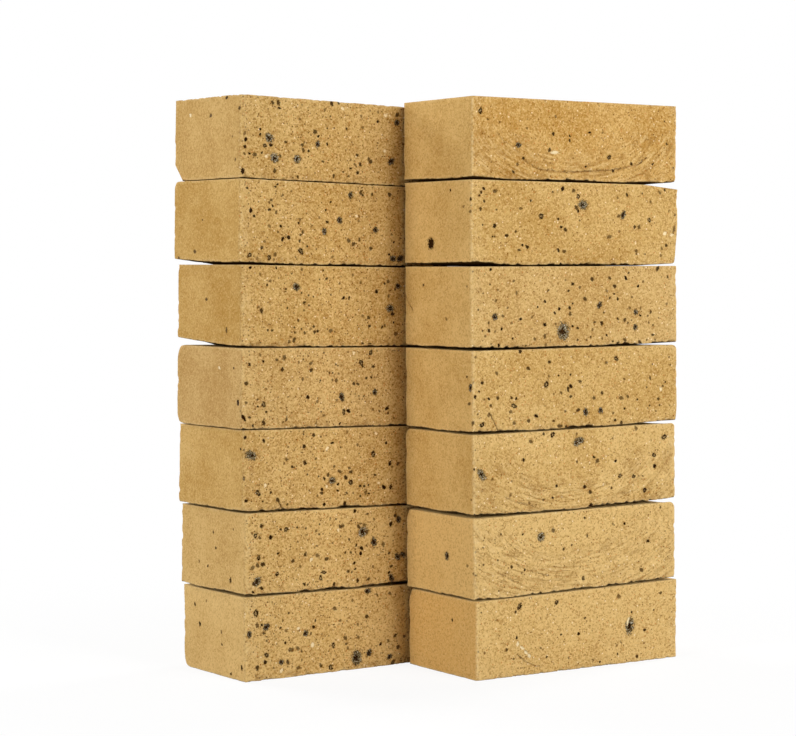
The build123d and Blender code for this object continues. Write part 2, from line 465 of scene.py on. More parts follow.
            (613, 341.5), (618.5, 343), (602.5, 338.5), (546, 345), (526, 346), (499, 345.5), (604, 312.5),
            (610, 298), (618, 299), (614.5, 294), (629, 273), (643.5, 281.5), (638.5, 286), (630, 308),
            (641, 308), (640.5, 315.5), (649, 322.5), (628, 323), (653, 335), (647, 340), (668, 277),
            (667, 304), (566, 280), (580, 287.5), (569, 291), (491, 269.5),
        ),
        SPOT: (
            (489, 331), (592.5, 279), (573, 284), (615, 286), (626, 278), (585.5, 299), (570, 308),
            (570.5, 314), (559.5, 309), (545, 324.5), (625, 320), (602, 323.5), (545, 336.5), (535, 339),
            (625, 340), (640, 342), (658, 268.5), (610, 278), (561.5, 331.5),
        ),
        BLOT: ((495, 317), (635.5, 327), (636, 312), (600, 305)),
        SLAG: ((563.5, 331.5, 1.2, 0),),
    },
    "right_brick_4": {
        SPECK: (
            (466.5, 377), (479.5, 391.5), (476, 357.5), (549, 376), (559, 375.5), (571, 374.5),
            (580.5, 381.5), (554, 394), (561.5, 393), (571, 396.5), (484.5, 399.5), (512, 398),
            (516.5, 398.5), (491, 405.5), (637.5, 399.5), (624.5, 379), (650.5, 378), (665.5, 382),
            (663, 386), (478, 414.5), (565.5, 411.5), (613.5, 413), (625, 408.5), (656, 411), (554, 421),
        ),
        SPOT: (
            (482.5, 383), (475.5, 397), (469, 404), (472.5, 423), (497, 373.5), (528.5, 368.5),
            (549.5, 362), (520.5, 351.5), (568.5, 389), (571, 386), (489, 399), (498, 398), (606.5, 362.5),
            (602.5, 393), (594.5, 398), (621.5, 398), (628, 396.5), (658.5, 399), (511, 412), (489, 415),
            (514.5, 423), (529, 421), (536.5, 416), (578.5, 410), (615.5, 420), (622, 422.5), (567, 427),
            (560, 426),
        ),
        RING: ((546.5, 384.5), (616.5, 358.5), (514, 406), (482.5, 425)),
        BLOT: ((470, 387.5, 1.4, 0), (586, 412), (601, 410.5)),
        SCAR: ((661, 389),),
    },
    "right_brick_3": {
        SPECK: (
            (577, 434), (613, 438.5), (643, 476), (492.5, 479.5), (474, 469.5), (553, 498), (544, 500),
            (530, 503), (577, 462), (616, 461), (594, 457), (524, 460), (512, 481), (612, 488), (511, 495),
            (471, 500),
        ),
        SPOT: (
            (531, 441.5), (544, 434), (655, 466), (557, 486), (585, 487), (590.5, 492), (591, 505),
            (597.5, 461), (636.5, 428.5),
        ),
        RING: ((553, 435), (664.5, 437), (654.5, 455), (620.5, 476), (634, 476.5), (645, 490)),
        GREY_BLOT: ((577.5, 442), (581, 440.5), (482, 475, 1.9, -38)),
    },
    "right_brick_2": {
        SPECK: (
            (523, 534.5), (585, 518), (587.5, 535.5), (625, 523.5), (613, 524), (660.5, 507.5), (572, 545),
            (564, 549), (525, 570), (522, 573), (512, 567), (473, 574), (467, 566),
        ),
        SPOT: ((553.5, 530.5), (648.5, 541), (642, 570)),
        BLOT: ((446.5, 556, 1.3, 0),),
        RING: ((583.5, 578.5),),
        GREY_BLOT: ((541.5, 537),),
    },
    "right_brick_1": {
        SPECK: (
            (516, 612), (661, 593), (654, 610), (632, 612), (561.5, 634.5), (517, 638), (585, 618),
            (547, 657), (514, 659), (507, 650), (485, 653), (593.5, 660), (600, 662), (569, 658),
            (644, 643), (541, 648), (617, 645.5), (618, 654), (452, 620),
        ),
        SPOT: ((619, 596.5), (645, 630), (579, 634), (637.5, 656.5)),
        RING: ((557, 602.5), (520, 606.5)),
        SCAB: ((630, 626, 1.5, 10),),
        SCAR: (
            (628.5, 621, 3.0, 14), (518, 644, 1.6, 20), (522.5, 648, 2.0, -50), (526.5, 652.5, 1.6, -45),
            (529.5, 656, 1.5, -20),
        ),
    },
}
HIDDEN_SPOTS = ((SPECK, 26), (SPOT, 13), (RING, 3), (BLOT, 2))
HIDDEN_END_SPECKS = 7
SPOT_LAYERS = 5
SPOT_REACH = 2.1  # in radii, how far from a spot's middle its stain may show
SMALLEST_PIT = 1.4  # radius from which a spot is also a pit
PIT_DEPTH = 0.16  # for its radius
FAR_FROM_SPOTS = (0.0, 0.0, 10.0)


def camera_axes():
    """The camera's right, up and forward directions."""
    heading = np.array((math.sin(CAMERA_HEADING), math.cos(CAMERA_HEADING), 0.0))
    forward = heading * math.cos(CAMERA_PITCH) - np.array((0, 0, math.sin(CAMERA_PITCH)))
    level = np.array((heading[1], -heading[0], 0.0))
    upright = np.cross(level, forward)
    right = math.cos(CAMERA_ROLL) * level + math.sin(CAMERA_ROLL) * upright
    up = math.cos(CAMERA_ROLL) * upright - math.sin(CAMERA_ROLL) * level
    return right, up, forward


def pixel_ray(x, y):
    """The direction in which the camera sees a pixel of the photograph."""
    right, up, forward = camera_axes()
    sideways = (x - IMAGE_WIDTH / 2) / FOCAL_PIXELS
    downwards = (y - IMAGE_HEIGHT / 2) / FOCAL_PIXELS
    return forward + sideways * right - downwards * up


def lattice_value(cell, seed):
    """A repeatable number from -1 to 1 for each whole-number cell."""
    mixed = cell.astype(np.int64) @ CELL_FACTORS + seed * SEED_FACTOR
    mixed = (mixed ^ (mixed >> 13)) * MIXING_FACTOR
    mixed = mixed ^ (mixed >> 16)
    return (mixed & 0xFFFF) / 32767.5 - 1.0


def noise(points, seed):
    """Smooth noise from -1 to 1, with features about one unit across."""
    cell = np.floor(points)
    part = points - cell
    ease = part * part * (3 - 2 * part)
    total = np.zeros(points.shape[:-1])
    for corner in np.ndindex(2, 2, 2):
        offset = np.array(corner)
        weight = np.prod(np.where(offset == 1, ease, 1 - ease), axis=-1)
        total += weight * lattice_value(cell + offset, seed)
    return total


def layered_noise(points, seed, layers):
    """Noise with finer and weaker noise added to it."""
    total = np.zeros(points.shape[:-1])
    for layer in range(layers):
        total += noise(points * 2.03**layer, seed + layer) / 2**layer
    return total


def smooth_step(value, low, high):
    """0 up to low, 1 from high on, and a smooth rise between them."""
    share = np.clip((value - low) / (high - low), 0.0, 1.0)
    return share * share * (3 - 2 * share)


class Brick:
    """One brick's own axes and size, read from its node in the frame."""

    def __init__(self, name, seed):
        self.name = name
        self.side = name.split("_")[0]
        self.course = int(name[-1]) - 1
        self.floor = BED_CLEARANCE if self.course else 0.0
        self.sunken = RAGGED_TOPS.get(name, 0.0)
        self.seed = seed
        self.random = np.random.default_rng(seed)
        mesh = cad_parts[name].data
        places = np.array([vertex.co for vertex in mesh.vertices], dtype=float) / METRES
        corners = places[np.array([polygon.vertices[:3] for polygon in mesh.polygons])]
        crosses = np.cross(corners[:, 1] - corners[:, 0], corners[:, 2] - corners[:, 0])
        areas = np.linalg.norm(crosses, axis=1)
        normals = crosses / np.maximum(areas, 1e-9)[:, None]

        wall = np.argmax(areas * (abs(normals[:, 2]) < 0.5))
        bed = np.argmax(areas * (normals[:, 2] < -0.9))
        top = np.argmax(areas * (normals[:, 2] > 0.9))
        up = -normals[bed]
        along = np.cross(normals[wall] * np.sign(normals[wall][1]), up)
        along /= np.linalg.norm(along)
        self.axes = np.array((along, np.cross(up, along), up))

        self.origin = corners[bed, 0]
        local = self.to_local(places)
        middle = (local.min(axis=0) + local.max(axis=0)) / 2
        self.half_length, self.half_width = (local.max(axis=0) - middle)[:2]
        self.origin = self.origin + middle[0] * self.axes[0] + middle[1] * self.axes[1]
        self.top_point = self.to_local(corners[top, 0])
        self.top_normal = self.axes @ normals[top]

    def to_local(self, places):
        return (places - self.origin) @ self.axes.T

    def to_frame(self, local):
        return self.origin + local @ self.axes

    def top_at(self, along, across):
        """Height of the upper bed over a place on the lower one."""
        x, y, z = self.top_point
        lean = self.top_normal[0] * (along - x) + self.top_normal[1] * (across - y)
        return z - lean / self.top_normal[2] - BED_CLEARANCE

    def find_pixel(self, x, y):
        """The face that the camera sees at a pixel, and the place on it."""
        eye = self.to_local(CAMERA_PLACE)
        ray = self.axes @ pixel_ray(x, y)
        place = eye + ray * (-self.half_width - eye[1]) / ray[1]
        if place[0] >= -self.half_length:
            return FRONT, place
        return LEFT_END, eye + ray * (-self.half_length - eye[0]) / ray[0]


class Wall:
    """The columns of the mesh round a brick, and where they stand in its plan."""

    def __init__(self, brick):
        self.brick = brick
        columns = []  # corner before and after, turn round each, share of the way between them, face
        for corner in range(4):
            for step in range(CORNER_STEPS + 1):
                turn = step / CORNER_STEPS
                face = (corner + 3) % 4 if turn < 0.5 else corner
                columns.append((corner, corner, turn, turn, 0.0, face))
            half_size = brick.half_length if corner % 2 else brick.half_width
            count = round(2 * half_size / COLUMN_STEP)
            for step in range(1, count):
                columns.append((corner, (corner + 1) % 4, 1.0, 0.0, step / count, corner))
        first, second, self.first_turn, self.second_turn, self.share, face = np.array(columns).T.copy()
        self.first, self.second, self.face = (values.astype(int) for values in (first, second, face))
        self.is_end = self.face % 2 == 0
        self.count = len(columns)
        self.rough = np.where(self.is_end, END_ROUGHNESS, 1.0)
        self.tight = np.where(self.is_end, TIGHT_ENDS.get(brick.name, 1.0), 1.0)
        self.radii = np.array(UPRIGHT_RADII[brick.side])
        self.outline = self.plan(np.zeros((self.count, 1)), self.radii[:, None])[:, 0]
        self.low_line = np.column_stack((self.outline, np.zeros(self.count)))
        self.high_line = np.column_stack((self.outline, np.full(self.count, UPPER_LINE)))

    def on_corner(self, corner, turn, inset, radius):
        """Places on a rounded corner that is pulled in by inset."""
        brick = self.brick
        left = np.maximum(radius - inset, SMALLEST_RADIUS)
        signs = CORNER_SIGNS[corner]
        angle = CORNER_START[corner] + turn * math.pi / 2
        along = signs[:, 0, None] * (brick.half_length - inset - left) + left * np.cos(angle)[:, None]
        across = signs[:, 1, None] * (brick.half_width - inset - left) + left * np.sin(angle)[:, None]
        return np.stack((along, across), axis=-1)

    def plan(self, inset, radii):
        """Places round the plan for an inset given by column and row, with radii by corner and row."""
        start = self.on_corner(self.first, self.first_turn, inset, radii[self.first])
        end = self.on_corner(self.second, self.second_turn, inset, radii[self.second])
        return start + (end - start) * self.share[:, None, None]


def corner_lift(wall, lifts):
    """How far the underside is lifted along the wall, from its four corners' lifts."""
    brick = wall.brick
    lifts = np.array(lifts)
    long_run = LIFT_RUN / (2 * brick.half_length)
    run = np.where(wall.is_end, 1.0, long_run)
    power = np.where(wall.is_end, 1.5, 2.0)
    near = np.maximum(1 - wall.share / run, 0) ** power * lifts[wall.first]
    far = np.maximum(1 - (1 - wall.share) / run, 0) ** power * lifts[wall.second]
    on_corner = wall.first == wall.second
    return np.where(on_corner, lifts[wall.first], near + far)


def wear_rims(wall):
    """By column: the radius of the lower rim, torn by the wire, that of the upper one, and its dents."""
    seed = wall.brick.seed
    torn = np.maximum(layered_noise(wall.low_line / 4.0, seed + 1, 2) - 0.1, 0)
    low_radius = 0.8 + wall.rough * (0.4 * noise(wall.low_line / 16.0, seed + 2) + 2.4 * torn)
    nicked = np.maximum(layered_noise(wall.high_line / 4.0, seed + 3, 2) - 0.4, 0)
    high_radius = 0.6 + 0.25 * noise(wall.high_line / 14.0, seed + 4) + 2.0 * wall.rough * nicked
    dent = wall.brick.sunken * np.where(wall.is_end, 1.0, 0.5)
    dent *= np.clip(layered_noise(wall.high_line / 5.0, seed + 8, 3) + 0.1, 0, 1)
    return np.clip(low_radius * wall.tight, *LOWER_RIM), np.clip(high_radius, *UPPER_RIM), dent


def open_joint(wall):
    """By column: how far the joint under the brick is open, and how much further at its lifted corners."""
    brick = wall.brick
    gap = OPEN_JOINTS[brick.side][brick.course]
    bites = np.maximum(layered_noise(wall.low_line / 3.6, brick.seed + 7, 3) - 0.1, 0)
    lift = gap * wall.tight * (0.75 + 0.35 * wall.rough + 0.6 * noise(wall.low_line / 24.0, brick.seed + 5))
    lift += min(gap, 0.9) * 1.5 * wall.rough * bites
    curl = corner_lift(wall, LIFTS.get(brick.name, DEFAULT_LIFT))
    return lift, curl * (1.0 if brick.course else GROUND_CURL)


class Rows:
    """The rows of the mesh, from inside the lower bed, round its rim, up the wall and over the upper rim."""

    def __init__(self, wall):
        self.wall = wall
        brick = wall.brick
        low_radius, high_radius, dent = wear_rims(wall)
        lift, curl = open_joint(wall)
        self.low_edge = brick.floor + lift + curl
        zero = np.zeros(wall.count)

        # By row: inset, rise over the lower bed, fall under the upper one, share of the height between them,
        # and how much it belongs to the wall and to the joint, which sets the joint's dust and painted shade
        table = []
        for share in MARGIN_SHARES:
            under = brick.floor + lift * (1 - share) ** 1.2 + curl * (1 - share) ** 0.6
            table.append((low_radius + share * MARGIN_DEPTH, under, zero, 0.0, 0.0, 1.0))
        for turn in np.linspace(0, math.pi / 2, RIM_STEPS + 1):
            out = math.sin(turn)
            over = self.low_edge + low_radius * (1 - math.cos(turn))
            table.append((low_radius * (1 - out), over, zero, 0.0, out, 1.0 - out))
        for share in np.arange(1, WALL_ROWS + 1) / (WALL_ROWS + 1):
            table.append((zero, self.low_edge + low_radius, high_radius + dent, share, 1.0, 0.0))
        for turn in np.linspace(0, math.pi / 2, RIM_STEPS):
            out = math.cos(turn)
            under = high_radius * (1 - math.sin(turn)) + dent
            table.append((high_radius * (1 - out), zero, under, 1.0, out, 0.0))
        self.count = len(table)
        values = [np.array(value).T for value in zip(*table)]
        self.inset, self.rise, self.fall, self.share, self.on_wall, self.in_joint = values

        # The radius of each upright arris wanders on its way up
        low = self.rise.mean(axis=0)
        line = np.zeros((4, self.count, 3))
        line[..., 0] = 7.0 * np.arange(4)[:, None]
        line[..., 2] = (low + self.share * (brick.top_at(0, 0) - low)) / 12.0
        self.radii = wall.radii[:, None] * (1 + RADIUS_WANDER * noise(line, brick.seed + 6))

    def place(self, inset):
        """Places by column and row, pulled in by an inset."""
        plan = self.wall.plan(inset, self.radii)
        top = self.wall.brick.top_at(plan[..., 0], plan[..., 1])
        height = self.rise + self.share * (top - self.fall - self.rise)
        return np.concatenate((plan, height[..., None]), axis=-1)


def place_spots(brick):
    """All the spots of a brick: those seen in the photograph, and others on its back and its right end."""
    spots = []
    for kind, pixels in SPOTS[brick.name].items():
        for x, y, *form in pixels:
            face, place = brick.find_pixel(x, y)
            drawn = brick.random.uniform(1.0, 1.6), brick.random.uniform(-90, 90)
            stretch, turn = form or drawn
            spots.append((kind, face, place, stretch, math.radians(turn)))
    height = brick.top_at(0, 0)
    for kind, number in HIDDEN_SPOTS:
        for _ in range(number):
            along, up = brick.random.uniform(-0.97, 0.97), brick.random.uniform(0.04, 0.96)
            place = np.array((along * brick.half_length, brick.half_width, up * height))
            spots.append((kind, BACK, place, brick.random.uniform(1.0, 1.35), brick.random.uniform(-2, 2)))
    for _ in range(HIDDEN_END_SPECKS):
        across, up = brick.random.uniform(-0.9, 0.9), brick.random.uniform(0.06, 0.94)
        place = np.array((brick.half_length, across * brick.half_width, up * height))
        spots.append((SPECK, RIGHT_END, place, 1.0, 0.0))
    return spots


def spot_offsets(brick, spots, points):
    """By layer and point: where a near spot lies, in its radii, and its tone. By point: the depth of pits."""
    offsets = np.tile(np.array(FAR_FROM_SPOTS), (SPOT_LAYERS, len(points), 1))
    tones = np.zeros((SPOT_LAYERS, len(points)))
    taken = np.zeros((SPOT_LAYERS, len(points)), dtype=bool)
    depth = np.zeros(len(points))
    for kind, face, place, stretch, turn in sorted(spots, key=lambda spot: -SPOT_KINDS[spot[0]][0]):
        radius, tone = SPOT_KINDS[kind]
        radius *= brick.random.uniform(0.85, 1.15)
        tone -= FAINTNESS.get(kind, 0.0) * brick.random.uniform()
        flat_axis = 0 if face in (FRONT, BACK) else 1
        away = points - place
        sideways = (away[:, flat_axis] * math.cos(turn) - away[:, 2] * math.sin(turn)) / radius
        lengthways = (away[:, flat_axis] * math.sin(turn) + away[:, 2] * math.cos(turn)) / (radius * stretch)
        inwards = away[:, 1 - flat_axis] / radius
        distance = np.sqrt(sideways**2 + lengthways**2 + inwards**2)
        near = distance < SPOT_REACH + 1.5 * COLUMN_STEP / radius
        for layer in range(SPOT_LAYERS):
            if not taken[layer][near].any():
                taken[layer][near] = True
                offsets[layer, near] = np.column_stack((sideways, lengthways, inwards))[near]
                tones[layer, near] = tone
                break
        if radius > SMALLEST_PIT:
            depth = np.maximum(depth, PIT_DEPTH * radius * np.maximum(1 - distance**2, 0))
    return offsets, tones, depth


def stain_depth(brick, points):
    """By point: how much darker a stain makes it."""
    if brick.name not in STAINS:
        return np.zeros(len(points))
    pixel, half_width, half_height, depth = STAINS[brick.name]
    face, middle = brick.find_pixel(*pixel)
    flat_axis = 0 if face == FRONT else 1
    right = (points[:, flat_axis] - middle[flat_axis]) / half_width
    up = (points[:, 2] - middle[2]) / half_height
    on_face = abs(points[:, 1 - flat_axis] - middle[1 - flat_axis]) < FACE_DEPTH
    away = np.hypot(right, up) + 0.2 * noise(points / 9.0, brick.seed + 26)
    return depth * on_face * (1 - smooth_step(away, 0.6, 1.1))


def drag_marks(brick, points):
    """By point: place across and along the drag marks, and how strong they are there."""
    across = points[:, 2].copy()
    along = points[:, 0].copy()
    low = 1 - smooth_step(points[:, 2], 6.0, 40.0)
    strength = PLAIN_DRAG * (0.2 + 0.8 * low) * (0.5 + 0.5 * noise(points / 26.0, brick.seed + 71))
    if brick.name in SMILES:
        pixel, half_width, drop = SMILES[brick.name]
        middle = brick.find_pixel(*pixel)[1]
        right = (points[:, 0] - middle[0]) / half_width
        down = (middle[2] - points[:, 2]) / drop
        ring = np.hypot(right, down)
        band = smooth_step(ring, 0.5, 0.85) * (1 - smooth_step(ring, 1.35, 1.7))
        band *= smooth_step(down, 0.05, 0.4)
        patchy = 0.7 + 0.3 * noise(points / 18.0, brick.seed + 72)
        strength = np.maximum(band * patchy, 0.3 * strength)
        across = ring * drop
        along = np.arctan2(down, right) * half_width
    on_front = smooth_step(-points[:, 1], brick.half_width - 3, brick.half_width - 1)
    return np.column_stack((across, along, strength * on_front))


def drag_relief(brick, drag):
    """Depth of the drag marks, which run along their own curves."""
    rows = np.column_stack((drag[:, 0] / DRAG_SPACING, drag[:, 1] / DRAG_LENGTH, np.zeros(len(drag))))
    return DRAG_DEPTH * drag[:, 2] * np.maximum(layered_noise(rows, brick.seed + 70, 2), 0)


def crack_lines(brick, points):
    """By point: the distance across the nearest crack, signed for its side, and that crack's strength."""
    nearest = np.full(len(points), CRACK_REACH[1])
    across = nearest.copy()
    strength = np.zeros(len(points))
    for depth, pixels in CRACKS.get(brick.name, ()):
        found = [brick.find_pixel(*pixel) for pixel in pixels]
        flat_axis = 0 if found[0][0] == FRONT else 1
        line = np.array([place for _, place in found])
        on_face = abs(points[:, 1 - flat_axis] - line[0, 1 - flat_axis]) < FACE_DEPTH
        flat = points[:, (flat_axis, 2)]
        line = line[:, (flat_axis, 2)]
        for start, end in zip(line[:-1], line[1:]):
            run = end - start
            length = np.linalg.norm(run)
            run /= length
            forward = (flat - start) @ run
            sideways = (flat - start) @ np.array((-run[1], run[0]))
            beyond = np.maximum(np.maximum(-forward, forward - length), 0)
            nearer = on_face & (np.hypot(sideways, beyond) < nearest)
            nearest = np.where(nearer, np.hypot(sideways, beyond), nearest)
            across = np.where(nearer, sideways, across)
            strength = np.where(nearer, depth * (1 - smooth_step(beyond, 0, CRACK_FADE)), strength)
    return across, strength * (1 - smooth_step(nearest, *CRACK_REACH))


def wear_corners(brick, points):
    """Round or knock off the corners and edges that the table names."""
    height = brick.top_at(points[:, 0], points[:, 1])
    for form, signs, reach in WORN.get(brick.name, ()):
        used = [axis for axis in range(3) if signs[axis] != 0]
        edges = (
            np.full(len(points), signs[0] * brick.half_length),
            np.full(len(points), signs[1] * brick.half_width),
            height if signs[2] > 0 else np.zeros(len(points)),
        )
        inward = np.stack([
            (edges[axis] - points[:, axis]) * signs[axis] / reach[axis] for axis in used
        ], axis=-1)
        inward *= 1 + 0.12 * noise(points / 5.0, brick.seed + 80)[:, None]
        if form == ROUND and len(used) == 2:
            short = np.maximum(1 - inward, 0)
            size = np.linalg.norm(short, axis=-1)
            moved = 1 - short / np.maximum(size, 1)[:, None]
            moved = np.where(inward < 1, moved, inward)
            worn = size > 1
        else:
            total = inward.sum(axis=-1)
            gain = 1 - total if form == CHIP else 0.5 * (1 - total) ** 2
            pull = np.array([reach[axis] for axis in used]) ** -2.0
            moved = inward + gain[:, None] * pull / pull.sum()
            worn = total < 1
        for number, axis in enumerate(used):
            shifted = edges[axis] - moved[:, number] * reach[axis] * signs[axis]
            points[:, axis] = np.where(worn, shifted, points[:, axis])
    return points


def fill_bed(outline, step):
    """Triangles inside an outline, with points of their own about a step apart."""
    low = outline.min(axis=0) + step
    high = outline.max(axis=0) - step
    columns = np.linspace(low[0], high[0], max(2, round((high[0] - low[0]) / step)))
    rows = np.linspace(low[1], high[1], max(2, round((high[1] - low[1]) / step)))
    inner = np.array([(along, across) for along in columns for across in rows])
    count = len(outline)
    edges = [(index, (index + 1) % count) for index in range(count)]
    coords = [Vector(place) for place in np.vstack((outline, inner))]
    made = delaunay_2d_cdt(coords, edges, [], 1, 1e-6)
    places, faces, sources = made[0], made[2], made[3]
    index = [source[0] for source in sources]
    assert len(places) == len(coords), "a bed's outline crosses itself"
    return inner, [[index[corner] for corner in face] for face in faces]


def map_wall(wall, row_place, column, row):
    """Places in the texture map of the wall's faces, in two strips that meet at two upright arrises."""
    run = np.linalg.norm(np.diff(wall.outline, axis=0, append=wall.outline[:1]), axis=1)
    once_round = np.concatenate(([0.0], np.cumsum(run)))
    whole = once_round[-1]
    distance = np.concatenate((once_round, whole + once_round[1:]))
    first_seam = CORNER_STEPS // 2
    second_seam = int(np.argmax(wall.first == 2)) + CORNER_STEPS // 2
    first_length = distance[second_seam] - distance[first_seam]
    on_first = ((column >= first_seam) & (column < second_seam))[:, None]
    unwrapped = np.where(column < first_seam, column + wall.count, column)
    corner_column = unwrapped[:, None] + np.array((0, 1, 1, 0))
    corner_row = row[:, None] + np.array((0, 0, 1, 1))
    start = np.where(on_first, distance[first_seam], distance[second_seam])
    length = np.where(on_first, first_length, whole - first_length)
    right = MAP_MARGIN + (1 - 2 * MAP_MARGIN) * (distance[corner_column] - start) / length
    up = np.where(on_first, STRIP_LOW[0], STRIP_LOW[1]) + STRIP_HEIGHT * row_place[corner_row]
    return np.stack((right, up), axis=-1).reshape(-1, 2)


def map_bed(brick, points, faces, start, side):
    """Places in the texture map of the corners of a bed's faces."""
    corners = points[np.concatenate(faces)]
    right = start + MAP_MARGIN + (0.5 - 2 * MAP_MARGIN) * (0.5 + 0.5 * corners[:, 0] / brick.half_length)
    up = BED_LOW + BED_HEIGHT * (0.5 + 0.5 * side * corners[:, 1] / brick.half_width)
    return np.column_stack((right, up))


def shape_faces(rows):
    """Places without relief, the relief's depth, and what the material needs there and on the beds."""
    wall = rows.wall
    brick = wall.brick
    seed = brick.seed
    by_column = (wall.count, rows.count)
    smooth_points = rows.place(rows.inset + FACE_CLEARANCE)
    flat_points = smooth_points.reshape(-1, 3)
    from_end = brick.half_length - abs(smooth_points[..., 0])
    from_face = brick.half_width - abs(smooth_points[..., 1])
    above_rim = smooth_points[..., 2] - rows.low_edge[:, None]
    under_top = brick.top_at(smooth_points[..., 0], smooth_points[..., 1]) - smooth_points[..., 2]
    near_upright = 1 - smooth_step(np.maximum(from_end, from_face), 0.8, 4.0)

    # Broad waves, torn grain on the long faces, drag marks, cracks and pits
    offsets, tones, pits = spot_offsets(brick, place_spots(brick), flat_points)
    drag = drag_marks(brick, flat_points)
    crack_across, cracked = crack_lines(brick, flat_points)
    groove = CRACK_DEPTH * cracked * np.maximum(1 - abs(crack_across) / CRACK_HALF_WIDTH, 0)
    grainy = np.maximum(smooth_step(from_end, 0.3, 2.5), 0.7 * (1 - smooth_step(from_face, 0.5, 4.0)))
    grainy *= GRAININESS[brick.side]
    waves = WAVE_HEIGHT * (1 + layered_noise(smooth_points / WAVE_LENGTH, seed + 10, 2))
    grain = np.abs(layered_noise(smooth_points / GRAIN_SIZE, seed + 12, 2)) * (0.05 + 0.18 * grainy)
    crumbs = np.maximum(layered_noise(smooth_points / CRUMB_SIZE, seed + 14, 2) - 0.15, 0)
    crumbs *= (1 - smooth_step(above_rim, *CRUMB_BAND)) * CRUMB_DEPTH * grainy
    marks = grain + crumbs + (drag_relief(brick, drag) + groove).reshape(by_column)
    ragged = near_upright * np.maximum(layered_noise(smooth_points / 6.0, seed + 16, 2), 0)
    relief = np.maximum(waves, 0) + marks + pits.reshape(by_column) + RAGGED_UPRIGHT * ragged

    # Pale wear, and each face's own colour
    near_rim = 1 - smooth_step(np.minimum(above_rim, under_top), 0.4, 2.2)
    rubbed = np.maximum(noise(smooth_points / 13.0, seed + 24) + 0.25, 0)
    rubbed *= 1 - smooth_step(from_end, 2.0, 15.0)
    worn = np.maximum(near_rim * RIM_PALENESS, near_upright * ARRIS_PALENESS[brick.side])
    worn = np.maximum(worn, RUBBED_END * rubbed * smooth_step(from_end, 0.5, 2.0))
    on_end = 1 - smooth_step(from_end, 0.0, 1.5)
    face_pale = PALENESS[brick.side][brick.course]
    # The ends' paleness is partly painted light and shade
    pale = face_pale + END_PALENESS[brick.side][brick.course] * on_end
    pale -= stain_depth(brick, flat_points).reshape(by_column)
    face_warmth, end_warmth = WARMTH[brick.side][brick.course]
    looks = {
        "pale": (pale, face_pale),
        "warm": (face_warmth + (end_warmth - face_warmth) * on_end, face_warmth),
        "grainy": (grainy, BED_GRAIN),
        # hollow: painted shade in the hollows of the marks
        "hollow": (np.clip(marks * rows.on_wall / DEEP_MARK, 0, 1), 0.0),
        "worn": (worn, 0.0),
        # joint: dust and painted shade in the joints
        "joint": (wall.tight[:, None] * rows.in_joint, 0.0),
        "crack": (cracked, 0.0),
        "crack_across": (crack_across, CRACK_REACH[1]),
        "drag": (drag, (0.0, 0.0, 0.0)),
    }
    for layer in range(SPOT_LAYERS):
        looks[f"spot_{layer}"] = (offsets[layer], FAR_FROM_SPOTS)
        looks[f"tone_{layer}"] = (tones[layer], 0.0)
    return smooth_points, relief, looks


def fill_top(brick, outline, shown):
    """Places inside the upper bed, and its triangles."""
    inner, faces = fill_bed(outline, SHOWN_BED_STEP if shown else HIDDEN_BED_STEP)
    points = np.column_stack((inner, brick.top_at(inner[:, 0], inner[:, 1])))
    if shown:
        hollow = np.maximum(layered_noise(points / TOP_SIZE, brick.seed + 20, 3), 0) * TOP_DEPTH
        edge = np.minimum(brick.half_length - abs(inner[:, 0]), brick.half_width - abs(inner[:, 1]))
        points[:, 2] -= hollow * smooth_step(edge, 2.0, 8.0) + brick.sunken
    return points, faces


